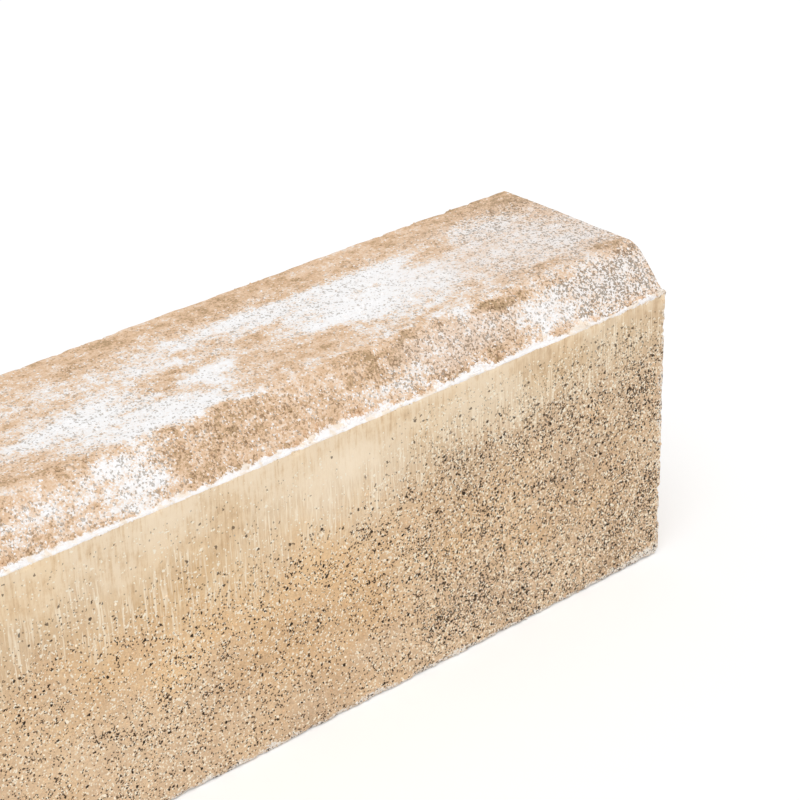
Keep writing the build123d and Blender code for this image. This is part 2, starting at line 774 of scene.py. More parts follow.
    def traits(self, points: SkinPoints) -> dict[Trait, np.ndarray]:
        """Works out every trait at some points.

        Args:
            points: the points of the skin.

        Returns:
            The traits' values, one for each point.
        """
        return {
            Trait.CAST: np.where(points.struck, 0.0, 1.0),
            Trait.LIME: self.lime(points),
            Trait.OPEN_GRAIN: np.where(points.struck, 0.0, self.open_grain(points)),
            Trait.SPECKLE: self.speckle(points),
            Trait.RUST: self.rust(points),
            Trait.FILM: self.film(points),
            Trait.LIP: self.lip_share(points),
            Trait.FRESH: self.foot(points),
            Trait.GRIT_COVER: self.grit_cover(points),
            Trait.CRUMB_COVER: self.crumb_cover(points),
        }


@dataclass(frozen=True)
class Bite:
    """A chip broken out of an arris: the ball that it was scooped with, and how pale its break is."""

    centre: Place
    radius: float
    fresh: float


@dataclass
class KerbSkin:
    """The block's own surface, with its relief, ragged lip and broken arrises."""

    section: KerbSection
    weathering: Weathering
    length: float
    station_spacing: float = 0.0026
    end_spacing: float = 0.0006
    spacing_growth: float = 0.25

    # Ends
    end_arris_radius: float = 0.0005
    end_relief: float = 0.6
    end_fade: Ramp = Ramp(0.0, 0.004, 0.4)
    cap_rings: int = 20
    cap_middle: float = 0.47
    cap_shift: float = 5.0
    cap_lumps: Ripple = Ripple(0.8, 0.008, 0.008)
    cap_sink: float = 0.4

    # Roughness of the long faces
    broad_relief: Ripple = Ripple(0.00035, 0.070, 0.045)
    medium_lumps: Ripple = Ripple(0.6, 0.0075, 0.0065)
    fine_lumps: Ripple = Ripple(0.6, 0.0045, 0.0040, 3.3, 1.7)
    struck_relief: float = 0.00030
    bevel_relief: float = 0.00050
    grain_relief: float = 0.00035
    slurry_share: float = 0.15

    # Crest of the lip, and the filled notch above it at the far end
    lip_rise: float = 0.0010
    lip_crest: Ramp = Ramp(0.40, 0.62)
    lip_mean: float = 0.65
    lip_lumps: Ripple = Ripple(0.9, 0.006, 0.01)
    notch_fill: Ramp = Ramp(0.007, 0.0, 0.0030)
    notch_end: Ramp = Ramp(0.050, 0.015)

    # Wear of the arrises, less on the harder ones at the lip and the back, and of the foot
    arris_wear: Ramp = Ramp(0.0045, 0.0, 0.0012)
    arris_rag: Ripple = Ripple(1.0, 0.007, 0.02)
    arris_sound: float = 0.05
    hard_reach: float = 0.006
    hard_share: float = 0.25
    foot_wear: Ramp = Ramp(0.007, 0.001, 0.0009)
    foot_mean: float = 0.35
    foot_lumps: Ripple = Ripple(1.0, 0.0042, 0.004)

    # Chips: the listed ones, and random ones along the arrises
    chips: tuple[Bite, ...] = (
        Bite((0.504, -0.079, -0.001), 0.0085, 1.0),
        Bite((0.494, -0.078, -0.002), 0.0052, 1.0),
        Bite((0.466, 0.0770, 0.2225), 0.0044, 0.2),
        Bite((0.460, 0.0770, 0.2225), 0.0042, 0.2),
        Bite((0.5025, -0.0770, 0.142), 0.0042, 0.5),
    )
    random_chips: int = 240
    chip_seed: int = 27
    chip_radii: Span = (0.0018, 0.0045)
    chip_stand_offs: Span = (0.35, 0.7)
    end_chip_every: int = 3
    foot_freshness: float = 0.8

    def stations(self) -> np.ndarray:
        """Lists the places along the block of its sections, closer near the ends.

        Returns:
            The places, from the near end to the far one.
        """
        fine = np.linspace(0.0, self.length, FINE_SAMPLES)
        gap = np.minimum(fine, self.length - fine)
        spacing = np.minimum(self.station_spacing, self.end_spacing + self.spacing_growth * gap)
        return graded_stations(fine, spacing) - self.length / 2

    def sweep_points(self, stations: np.ndarray, outline: Outline) -> SkinPoints:
        """Says where the points of the long faces lie.

        Args:
            stations: the sections' places along the block.
            outline: the section's sampled outline.

        Returns:
            The points, one row for each section.
        """
        shape = (len(stations), len(outline.zone))
        along = np.broadcast_to((self.length / 2 - stations)[:, None], shape)
        across = np.broadcast_to(outline.across[None, :], shape)
        zone = np.broadcast_to(outline.zone[None, :], shape)
        fall = np.where(zone == Zone.BACK.value, -across, across - self.weathering.lip)
        height = np.broadcast_to(outline.place[None, :, 1], shape)
        return SkinPoints(along, across, fall, zone, height)

    def cap_points(self, places: np.ndarray, sign: float) -> SkinPoints:
        """Says where the points of an end face lie.

        Args:
            places: the points themselves.
            sign: 1 for the far end, -1 for the near one.

        Returns:
            The points, with the way across the end in place of the way along the block.
        """
        fall = self.section.lip_height - places[:, 2]
        along = places[:, 1] + self.cap_shift * sign
        zone = np.full(len(places), Zone.END.value)
        return SkinPoints(along, fall + self.weathering.lip, fall, zone, places[:, 2])

    def relief(self, points: SkinPoints, from_corner: np.ndarray) -> np.ndarray:
        """Works out how far each point of the long faces stands out of the true section.

        Args:
            points: the points, one row for each section.
            from_corner: the outline's distances from the nearest corner.

        Returns:
            A height for each point.
        """
        weather = self.weathering
        along, around = points.along, points.across
        height = self.broad_relief.on_face(weather.broad, along, around)
        medium = self.medium_lumps.on_face(weather.rough, along, around)
        fine = self.fine_lumps.on_face(weather.rough, along, around)
        on_bevel = self.bevel_relief - self.struck_relief
        struck_size = self.struck_relief + on_bevel * weather.bevel_share(points)
        open_share = (1.0 - self.slurry_share) * weather.open_grain(points)
        cast_size = self.grain_relief * (self.slurry_share + open_share)
        height = height + np.where(points.struck, struck_size, cast_size) * (medium + fine)

        crest = self.lip_crest.at(weather.lip_share(points)) * points.struck
        lumps = self.lip_mean + self.lip_lumps.on_face(weather.ragged, along, around)
        height = height + self.lip_rise * crest * lumps
        notch = self.notch_fill.at(np.abs(around - weather.lip + self.section.lip_land))
        height = height + notch * self.notch_end.at(along) * points.struck

        lip_corner = np.abs(around - weather.lip) < self.hard_reach
        back_corner = np.abs(around) < self.hard_reach
        worn = self.arris_wear.at(from_corner)[None, :]
        worn = worn * np.where(lip_corner | back_corner, self.hard_share, 1.0)
        rag = self.arris_rag.on_face(weather.ragged, along, around) - self.arris_sound
        height = height - worn * np.clip(rag, 0.0, None)
        crumbled = self.foot_wear.at(points.height) * points.on(Zone.ROAD, Zone.BACK)
        lumps = self.foot_mean + self.foot_lumps.on_face(weather.rough, along, around)
        height = height - crumbled * np.clip(lumps, 0.0, None)
        return np.where(points.on(Zone.BED), np.minimum(height, 0.0), height)

    def bites(self) -> list[Bite]:
        """Draws the small chips along the arrises and adds the listed ones.

        Returns:
            All the chips, the listed ones first.
        """
        draw = np.random.default_rng(self.chip_seed)
        half = self.length / 2
        section = self.section
        road, back = -section.width / 2, section.width / 2
        lip_height = section.lip_height
        long_arrises = ((back, section.height), (road, lip_height), (road, 0.0), (back, 0.0))
        found = list(self.chips)
        for number in range(self.random_chips):
            radius = draw.uniform(*self.chip_radii)
            stand_off = radius * draw.uniform(*self.chip_stand_offs)
            if number % self.end_chip_every:
                y, z = long_arrises[number % len(long_arrises)]
                x = draw.uniform(-half, half)
                out = Vector((0.0, math.copysign(1.0, y), 1.0 if z else -1.0)).normalized()
            else:
                x = half if number % 2 else -half
                y = draw.choice((road, back))
                z = draw.uniform(0.0, lip_height)
                out = Vector((math.copysign(1.0, x), math.copysign(1.0, y), 0.0)).normalized()
            centre = Vector((x, y, z)) + out * stand_off
            found.append(Bite(tuple(centre), radius, fresh=0.0 if z else self.foot_freshness))
        return found

    def bitten(self, points: np.ndarray) -> tuple[np.ndarray, np.ndarray]:
        """Scoops the chips out of the surface.

        Args:
            points: the surface's points.

        Returns:
            The moved points, and how freshly broken the surface is at each, from 0 to 1.
        """
        moved = points.copy()
        fresh = np.zeros(len(points))
        for bite in self.bites():
            centre = np.array(bite.centre)
            close = np.flatnonzero(np.abs(moved[:, 0] - centre[0]) < bite.radius)
            offset = moved[close] - centre
            distance = np.linalg.norm(offset, axis=1)
            inside = distance < bite.radius
            scale = bite.radius / np.maximum(distance[inside], TINY)
            chosen = close[inside]
            pushed = centre + offset[inside] * scale[:, None]
            pushed[:, 2] = np.maximum(pushed[:, 2], 0.0)
            moved[chosen] = pushed
            fresh[chosen] = np.maximum(fresh[chosen], bite.fresh)
        return moved, fresh

    def caps(self, ring: np.ndarray, sign: float) -> np.ndarray:
        """Fills an end face with rings that close in on its middle.

        Args:
            ring: the points of the outline at that end.
            sign: 1 for the far end, -1 for the near one.

        Returns:
            The rings' points, from the outside in, and the middle point last.
        """
        middle = np.array([sign * self.length / 2, 0.0, self.section.height * self.cap_middle])
        shares = np.linspace(1.0, 0.0, self.cap_rings + 1)[1:-1]
        points = middle + (ring[None] - middle) * shares[:, None, None]
        points = np.concatenate((points.reshape(-1, 3), middle[None]))
        across = points[:, 1] + self.cap_shift * sign
        lumps = self.cap_lumps.on_face(self.weathering.rough, across, points[:, 2])
        points[:, 0] += sign * self.grain_relief * (lumps - self.cap_sink)
        return points

    def build(self) -> bpy.types.Object:
        """Makes the closed surface and lays its weathering traits on it.

        Returns:
            The skin's object, without a finish.
        """
        outline = self.section.outline()
        stations = self.stations()
        long_faces = self.sweep_points(stations, outline)
        height = self.relief(long_faces, outline.from_corner)
        from_end = self.length / 2 - np.abs(stations)
        radius = self.end_arris_radius
        gap = np.clip(from_end, 0.0, radius)
        inset = radius - np.sqrt(radius**2 - (radius - gap) ** 2)
        share = self.end_relief + self.end_fade.at(from_end)
        height = height * share[:, None] - inset[:, None]
        rows, columns = height.shape
        sweep = np.empty((rows, columns, 3))
        sweep[:, :, 0] = stations[:, None]
        sweep[:, :, 1:] = outline.place[None] + outline.normal[None] * height[:, :, None]
        near_cap = self.caps(sweep[0], -1.0)
        far_cap = self.caps(sweep[-1], 1.0)
        points, fresh = self.bitten(np.concatenate((sweep.reshape(-1, 3), near_cap, far_cap)))

        mesh = bpy.data.meshes.new("kerb_skin")
        mesh.from_pydata(points.tolist(), [], self.faces(rows, columns, len(near_cap)))
        mesh.shade_smooth()
        parts = (long_faces, self.cap_points(near_cap, -1.0), self.cap_points(far_cap, 1.0))
        self.lay_traits(mesh, parts, fresh)
        mesh.validate()
        skin = bpy.data.objects.new("kerb_skin", mesh)
        bpy.context.scene.collection.objects.link(skin)
        return skin

    def faces(self, rows: int, columns: int, cap_points: int) -> list[list[int]]:
        """Lists the faces of the long faces and of the two ends, all pointing outwards.

        Args:
            rows: number of sections.
            columns: points in each section.
            cap_points: points inside each end face.

        Returns:
            The corner numbers of each face.
        """
        column = np.arange(columns)
        following = (column + 1) % columns
        found: list[list[int]] = []
        for row in range(rows - 1):
            here, there = row * columns, (row + 1) * columns
            quads = np.stack((here + column, here + following, there + following, there + column), 1)
            found += quads.tolist()
        first_inner = rows * columns
        for sign, outer in ((-1, 0), (1, (rows - 1) * columns)):
            for ring in range(self.cap_rings - 1):
                inner = first_inner + ring * columns
                quads = np.stack((outer + column, outer + following, inner + following, inner + column), 1)
                found += (quads if sign > 0 else quads[:, ::-1]).tolist()
                outer = inner
            middle = np.full(columns, first_inner + cap_points - 1)
            fan = np.stack((outer + column, outer + following, middle), 1)
            found += (fan if sign > 0 else fan[:, ::-1]).tolist()
            first_inner += cap_points
        return found

    def lay_traits(self, mesh: bpy.types.Mesh, parts: tuple[SkinPoints, ...], fresh: np.ndarray) -> None:
        """Stores the weathering at each point of the skin.

        Args:
            mesh: the skin.
            parts: where the points of its faces lie, in the mesh's order.
            fresh: how freshly broken each point is.
        """
        found = [self.weathering.traits(part) for part in parts]
        for trait in Trait:
            values = np.concatenate([traits[trait].reshape(-1) for traits in found])
            if trait is Trait.FRESH:
                values = np.maximum(values, fresh)
            attribute = mesh.attributes.new(trait.value, "FLOAT", "POINT")
            attribute.data.foreach_set("value", values.astype(np.float32))


@dataclass(frozen=True)
class Noise:
    """Soft noise: the size of its blobs in metres, its octaves, and how it is drawn out and shifted."""

    size: float
    detail: float = 2.0
    rough: float = 0.55
    scale: Place = (1.0, 1.0, 1.0)
    shift: Place = (0.0, 0.0, 0.0)


@dataclass(frozen=True)
class Trend:
    """A straight line from a value to another: its gain, and its base where the value is 0."""

    gain: float
    base: float


class NodeSheet:
    """A node tree with a short way to add nodes and join them."""

    def __init__(self, tree: bpy.types.NodeTree) -> None:
        """Keeps the tree and empties it."""
        self.tree = tree
        tree.nodes.clear()

    def add(self, kind: str, inputs: dict[Any, Any] | None = None, **options: Any) -> bpy.types.Node:
        """Adds a node.

        Args:
            kind: the node's type.
            inputs: for an input's name or number, a constant or another node's output.
            options: settings of the node itself.

        Returns:
            The node.
        """
        node = self.tree.nodes.new(kind)
        for name, value in options.items():
            setattr(node, name, value)
        for key, value in (inputs or {}).items():
            if isinstance(value, Socket):
                self.tree.links.new(value, node.inputs[key])
            else:
                node.inputs[key].default_value = value
        return node

    def math(self, operation: str, a: Any, b: Any = 0.0, c: Any = 0.0) -> Socket:
        """Works out a value from two or three others, by Blender's name for the operation."""
        return self.add("ShaderNodeMath", {0: a, 1: b, 2: c}, operation=operation).outputs[0]

    def scaled(self, at: Any, scale: Any) -> Socket:
        """Scales coordinates by a value that may change from place to place."""
        return self.add("ShaderNodeVectorMath", {0: at, "Scale": scale}, operation="SCALE").outputs[0]


class ShaderSheet(NodeSheet):
    """A material's node tree, with the few patterns that concrete is made of."""

    CELL_SHAKE = 0.9
    COLOUR_A, COLOUR_B, COLOUR_OUT = 6, 7, 2

    def __init__(self, material: bpy.types.Material) -> None:
        """Starts from the material's empty tree and the object's own coordinates.

        Args:
            material: the material to lay out.
        """
        material.use_nodes = True
        super().__init__(material.node_tree)
        self.coordinates = self.add("ShaderNodeTexCoord").outputs["Object"]

    def attribute(self, name: str) -> Socket:
        """Reads an attribute of the mesh."""
        return self.add("ShaderNodeAttribute", attribute_name=name).outputs["Fac"]

    def trait(self, trait: Trait) -> Socket:
        """Reads one of the skin's traits."""
        return self.attribute(trait.value)

    def cast(self) -> Socket:
        """Gives 1 on the cast faces and 0 on the struck ones, with nothing between."""
        return self.math("GREATER_THAN", self.trait(Trait.CAST), 0.5)

    def moved(self, at: Any, shift: Place) -> Socket:
        """Shifts coordinates."""
        return self.add("ShaderNodeVectorMath", {0: at, 1: shift}, operation="ADD").outputs[0]

    def noise(self, noise: Noise) -> Socket:
        """Adds soft noise.

        Args:
            noise: its size and character.

        Returns:
            The noise, around 0.5.
        """
        at = self.coordinates
        if noise.scale != Noise.scale:
            inputs = {"Vector": at, "Scale": noise.scale, "Location": noise.shift}
            at = self.add("ShaderNodeMapping", inputs).outputs["Vector"]
        inputs = {"Vector": at, "Scale": 1.0 / noise.size, "Detail": noise.detail, "Roughness": noise.rough}
        return self.add("ShaderNodeTexNoise", inputs).outputs["Fac"]

    def times(self, a: Any, b: Any) -> Socket:
        """Multiplies two values."""
        return self.math("MULTIPLY", a, b)

    def line(self, value: Any, trend: Trend) -> Socket:
        """Carries a value along a straight line."""
        return self.math("MULTIPLY_ADD", value, trend.gain, trend.base)

    def swing(self, value: Any, amount: float) -> Socket:
        """Turns noise around 0.5 into a swing around 0 of that strength."""
        return self.math("MULTIPLY_ADD", value, amount, -0.5 * amount)

    def total(self, *values: Any) -> Socket:
        """Adds up values.

        Args:
            values: two or more constants or outputs.

        Returns:
            Their sum.
        """
        result = values[0]
        for value in values[1:]:
            result = self.math("ADD", result, value)
        return result

    def step(self, value: Any, ramp: Ramp) -> Socket:
        """Eases a value over a ramp."""
        inputs = {"Value": value, "From Min": ramp.start, "From Max": ramp.end, "To Max": ramp.top}
        return self.add("ShaderNodeMapRange", inputs, interpolation_type="SMOOTHSTEP").outputs[0]

    def band(self, value: Any, rise: Ramp, drop: Ramp) -> Socket:
        """Gives the band of a value that lies between a rise and a drop."""
        return self.times(self.step(value, rise), self.step(value, drop))

    def mix(self, factor: Any, a: Any, b: Any, blend: str = "MIX") -> Socket:
        """Mixes two colours.

        Args:
            factor: the second colour's share.
            a: the first colour.
            b: the second colour.
            blend: Blender's name for the way of mixing.

        Returns:
            The mixed colour.
        """
        inputs = {0: factor, self.COLOUR_A: self.paint(a), self.COLOUR_B: self.paint(b)}
        mixed = self.add("ShaderNodeMix", inputs, data_type="RGBA", blend_type=blend)
        return mixed.outputs[self.COLOUR_OUT]

    @staticmethod
    def paint(colour: Any) -> Any:
        """Gives a plain colour its alpha, and passes a socket on."""
        return (*colour, 1.0) if isinstance(colour, tuple) else colour

    def shaded(self, level: Any, shades: Shades) -> Socket:
        """Colours a level by a row of shades.

        Args:
            level: the level, from -1 to 1.
            shades: levels and their colours, rising.

        Returns:
            The colour.
        """
        ramp = self.add("ShaderNodeValToRGB", {"Fac": self.math("MULTIPLY_ADD", level, 0.5, 0.5)})
        stops = ramp.color_ramp.elements
        for place, (at, colour) in enumerate(shades):
            inner = 0 < place < len(shades) - 1
            stop = stops.new(0.5 + 0.5 * at) if inner else stops[0 if place == 0 else -1]
            stop.position = 0.5 + 0.5 * at
            stop.color = self.paint(colour)
        return ramp.outputs["Color"]

    def warped(self, at: Any, size: float, amount: float) -> Socket:
        """Shakes coordinates, so that cells lose their straight edges.

        Args:
            at: the coordinates.
            size: about the size of the shaking's waves, in metres.
            amount: how far it shifts a place, in metres.

        Returns:
            The shaken coordinates.
        """
        shake = self.add("ShaderNodeTexNoise", {"Vector": at, "Scale": 1.0 / size, "Detail": 1.0})
        inputs = {0: shake.outputs["Color"], 1: (0.5, 0.5, 0.5)}
        middle = self.add("ShaderNodeVectorMath", inputs, operation="SUBTRACT")
        inputs = {0: middle.outputs[0], 1: (amount, amount, amount), 2: at}
        return self.add("ShaderNodeVectorMath", inputs, operation="MULTIPLY_ADD").outputs[0]

    def lots(self, size: float, at: Any) -> list[Socket]:
        """Gives each ragged cell of a random pattern three lots of its own.

        Args:
            size: about the cells' size, in metres.
            at: the coordinates.

        Returns:
            Three values, each anywhere from 0 to 1.
        """
        shake = self.CELL_SHAKE * size
        inputs = {"Vector": self.warped(at, shake, shake), "Scale": 1.0 / size}
        cells = self.add("ShaderNodeTexVoronoi", inputs)
        return list(self.add("ShaderNodeSeparateColor", {0: cells.outputs["Color"]}).outputs)


@dataclass
class GrainPattern:
    """The sockets that the parts of a finish share: its grains, the pits between them where shade is
    painted, and its blotches.
    """

    tone: Socket
    pits: Socket
    holes: Socket
    flecks: Socket
    blotch: Socket
    streak: Socket
    thread: Socket


@dataclass(frozen=True)
class GrainFinish:
    """The mix: its grains and stones, the pits and pale flecks among them, its blotches and streaks."""

    grain_size: float = 0.0013
    stone_size: float = 0.0021
    stone_shift: Place = (0.31, 0.17, 0.53)
    finer_where_cast: Trend = Trend(0.10, 1.30)
    blotches: Noise = Noise(0.0075, 4.0, 0.72)
    streaks: Noise = Noise(0.0016, 2.0, 0.60, (1.0, 1.0, 0.09))
    threads: Noise = Noise(0.0013, 2.0, 0.50, (1.0, 1.0, 0.065), (0.7, 0.0, 0.3))
    clumps: Noise = Noise(0.0090, 3.0, 0.65)
    clump_edge: Ramp = Ramp(0.36, 0.66, 1.7)
    clump_density: Trend = Trend(0.45, 0.55)
    clusters: Noise = Noise(0.0260, 3.0, 0.62)
    cluster_edge: Ramp = Ramp(0.38, 0.62, 0.80)
    least_crowded: float = 0.65
    speckle_power: float = 1.5
    pit_share: Trend = Trend(-0.155, 0.34)
    wide_pit_share: Trend = Trend(-0.16, 0.32)
    hollows: Noise = Noise(0.0024, 2.0, 0.60, (1.0, 1.0, 0.7))
    hollow_edge: Ramp = Ramp(0.235, 0.215)
    fleck_share: Trend = Trend(0.03, 0.14)
    wide_fleck_share: float = 0.03
    skin_tones: Ramp = Ramp(0.05, 0.01)
    pale_sand: Ramp = Ramp(0.80, 0.90)

    def pattern(self, sheet: ShaderSheet) -> GrainPattern:
        """Lays out the grains, pits, flecks and blotches.

        Args:
            sheet: the material's tree.

        Returns:
            The sockets of the pattern; a loose grain of sand has one tone of its own and no pits.
        """
        speckle = sheet.trait(Trait.SPECKLE)
        sand = sheet.attribute(SandGrains.TONE)
        skin = sheet.step(sand, self.skin_tones)
        cast = sheet.cast()
        grain_place = sheet.scaled(sheet.coordinates, sheet.line(cast, self.finer_where_cast))
        grains = sheet.lots(self.grain_size, grain_place)
        stones = sheet.lots(self.stone_size, sheet.moved(grain_place, self.stone_shift))

        clump = sheet.step(sheet.noise(self.clumps), self.clump_edge)
        speckled = sheet.math("POWER", speckle, self.speckle_power)
        density = sheet.times(speckled, sheet.line(clump, self.clump_density))
        cluster = sheet.step(sheet.noise(self.clusters), self.cluster_edge)
        crowded = sheet.math("ADD", cluster, self.least_crowded)
        density = sheet.times(density, sheet.math("POWER", crowded, cast))
        pitted = sheet.times(density, sheet.line(cast, self.pit_share))
        small_pits = sheet.math("LESS_THAN", grains[1], pitted)
        wide_share = sheet.line(sheet.trait(Trait.OPEN_GRAIN), self.wide_pit_share)
        wide_pits = sheet.math("LESS_THAN", stones[1], sheet.times(pitted, wide_share))
        hollow = sheet.step(sheet.noise(self.hollows), self.hollow_edge)
        holes = sheet.math("MAXIMUM", wide_pits, hollow)
        pits = sheet.math("MAXIMUM", small_pits, holes)

        pale_share = sheet.line(cast, self.fleck_share)
        small_flecks = sheet.math("LESS_THAN", grains[2], sheet.times(speckle, pale_share))
        wide_share = sheet.times(sheet.times(speckle, cast), self.wide_fleck_share)
        wide_flecks = sheet.math("LESS_THAN", stones[2], wide_share)
        flecks = sheet.math("MAXIMUM", small_flecks, wide_flecks)
        return GrainPattern(
            tone=sheet.math("MULTIPLY_ADD", grains[0], skin, sand),
            pits=sheet.times(pits, skin),
            holes=sheet.times(holes, skin),
            flecks=sheet.math("MULTIPLY_ADD", flecks, skin, sheet.step(sand, self.pale_sand)),
            blotch=sheet.noise(self.blotches),
            streak=sheet.noise(self.streaks),
            thread=sheet.noise(self.threads),
        )


@dataclass(frozen=True)
class StruckFinish:
    """The faces that the press head struck: brown stain to white bloom, in wisps along the block."""

    shades: Shades = (
        (-1.00, (0.46, 0.310, 0.175)),
        (-0.55, (0.72, 0.488, 0.310)),
        (-0.15, (0.82, 0.598, 0.420)),
        (0.15, (0.87, 0.705, 0.570)),
        (0.50, (0.93, 0.880, 0.845)),
        (1.00, (0.985, 0.975, 0.975)),
    )
    wisps: Noise = Noise(0.0120, 5.0, 0.70, (0.26, 1.0, 1.0))
    wisp_swing: float = 2.2
    blotch_swing: float = 2.6
    tone_swing: float = 1.0
    tone_contrast: Trend = Trend(0.6, 0.35)
    fleck_lift: float = 0.65
    film: Colour = (0.86, 0.765, 0.705)
    film_share: float = 0.5
    # Painted shade: this grey darkens the pits, which the bump also sinks, and darkens them more where
    # speckle is strong
    pit_shade: Colour = (0.45, 0.41, 0.36)
    pit_shade_depth: Trend = Trend(0.7, 0.3)

    def colour(self, sheet: ShaderSheet, pattern: GrainPattern) -> Socket:
        """Colours the struck faces.

        Args:
            sheet: the material's tree.
            pattern: the grains.

        Returns:
            The colour.
        """
        contrast = sheet.line(sheet.trait(Trait.SPECKLE), self.tone_contrast)
        level = sheet.total(
            sheet.trait(Trait.LIME),
            sheet.swing(sheet.noise(self.wisps), self.wisp_swing),
            sheet.swing(pattern.blotch, self.blotch_swing),
            sheet.times(sheet.swing(pattern.tone, self.tone_swing), contrast),
            sheet.times(pattern.flecks, self.fleck_lift),
        )
        colour = sheet.shaded(level, self.shades)
        colour = sheet.mix(sheet.times(sheet.trait(Trait.FILM), self.film_share), colour, self.film)
        # Painted shade in the pits, multiplied over the colour
        shade_depth = sheet.line(sheet.trait(Trait.SPECKLE), self.pit_shade_depth)
        return sheet.mix(sheet.times(pattern.pits, shade_depth), colour, self.pit_shade, "MULTIPLY")


@dataclass(frozen=True)
class CastFinish:
    """The faces cast against the mould: streaked slurry with pale drips, which gives way to open grain."""

    slurry_shades: Shades = (
        (-1.00, (0.66, 0.470, 0.295)),
        (-0.40, (0.81, 0.615, 0.405)),
        (0.10, (0.90, 0.730, 0.525)),
        (1.00, (0.965, 0.812, 0.615)),
    )
    grain_shades: Shades = (
        (-1.00, (0.54, 0.378, 0.245)),
        (0.00, (0.74, 0.528, 0.340)),
        (1.00, (0.91, 0.680, 0.440)),
    )
    clouds: Noise = Noise(0.060, 3.0)

    # Swings of the slurry's level, of the grain's level and of the edge between them
    slurry_streak: float = 2.6
    slurry_cloud: float = 1.6
    slurry_blotch: float = 2.2
    grain_lime: float = 0.6
    grain_cloud: float = 1.4
    grain_blotch: float = 1.6
    grain_tone: float = 1.0
    edge_blotch: float = 0.9
    edge_streak: float = 1.4
    edge: Ramp = Ramp(0.0, 1.0)
    rust: Colour = (1.01, 0.94, 0.82)

    # Combed band along the slurry's edge, and the drips drawn down through it
    combed: Colour = (0.86, 0.82, 0.77)
    combed_share: float = 0.8
    combed_from: Ramp = Ramp(0.00, 0.10)
    combed_until: Ramp = Ramp(0.95, 0.50)
    combed_cloud: float = 0.6
    combed_streak: Ramp = Ramp(0.40, 0.54)
    drawn_share: float = 0.60
    drawn_from: Ramp = Ramp(0.00, 0.16)
    drawn_until: Ramp = Ramp(1.00, 0.60)
    drip: Colour = (1.00, 0.86, 0.66)
    drip_edge: Ramp = Ramp(0.53, 0.62, 0.85)

    # Single pale grains, and the painted shade in pits and holes
    pale_grain: Colour = (1.00, 0.90, 0.73)
    pale_share: float = 0.95
    pit_shade: Colour = (0.075, 0.042, 0.022)
    hole_shade: Colour = (0.040, 0.024, 0.013)
    pit_shade_depth: Trend = Trend(0.46, 0.50)

    def colour(self, sheet: ShaderSheet, pattern: GrainPattern) -> Socket:
        """Colours the cast faces.

        Args:
            sheet: the material's tree.
            pattern: the grains.

        Returns:
            The colour.
        """
        open_grain = sheet.trait(Trait.OPEN_GRAIN)
        cloud = sheet.noise(self.clouds)
        colour = self.ground(sheet, pattern, open_grain, cloud)

        combed = sheet.band(open_grain, self.combed_from, self.combed_until)
        streak = sheet.total(pattern.streak, sheet.swing(cloud, self.combed_cloud))
        combed = sheet.times(combed, sheet.step(streak, self.combed_streak))
        drawn = sheet.band(open_grain, self.drawn_from, self.drawn_until)
        drawn = sheet.math("MAXIMUM", combed, sheet.times(drawn, self.drawn_share))
        colour = sheet.mix(sheet.times(drawn, self.combed_share), colour, self.combed, "MULTIPLY")
        drips = sheet.times(sheet.step(pattern.thread, self.drip_edge), drawn)
        colour = sheet.mix(drips, colour, self.drip)

        colour = sheet.mix(sheet.times(pattern.flecks, self.pale_share), colour, self.pale_grain)
        # Painted shade: pits and holes are darkened nearly to black, more where the grain is open
        shade_depth = sheet.line(open_grain, self.pit_shade_depth)
        colour = sheet.mix(sheet.times(pattern.pits, shade_depth), colour, self.pit_shade)
        return sheet.mix(sheet.times(pattern.holes, shade_depth), colour, self.hole_shade)

    def ground(
        self, sheet: ShaderSheet, pattern: GrainPattern, open_grain: Socket, cloud: Socket,
    ) -> Socket:
        """Colours the slurry and the open grain below it, without drips, flecks and pits.

        Args:
            sheet: the material's tree.
            pattern: the grains.
            open_grain: how open-grained the face is.
            cloud: broad noise.

        Returns:
            The colour.
        """
        slurry_level = sheet.total(
            sheet.trait(Trait.LIME),
            sheet.swing(pattern.streak, self.slurry_streak),
            sheet.swing(cloud, self.slurry_cloud),
            sheet.swing(pattern.blotch, self.slurry_blotch),
        )
        grain_level = sheet.total(
            sheet.times(sheet.trait(Trait.LIME), self.grain_lime),
            sheet.swing(cloud, self.grain_cloud),
            sheet.swing(pattern.blotch, self.grain_blotch),
            sheet.swing(pattern.tone, self.grain_tone),
        )
        share = sheet.total(
            open_grain,
            sheet.swing(pattern.blotch, self.edge_blotch),
            sheet.swing(pattern.streak, self.edge_streak),
        )
        slurry = sheet.shaded(slurry_level, self.slurry_shades)
        grain = sheet.shaded(grain_level, self.grain_shades)
        colour = sheet.mix(sheet.step(share, self.edge), slurry, grain)
        return sheet.mix(sheet.trait(Trait.RUST), colour, self.rust, "MULTIPLY")


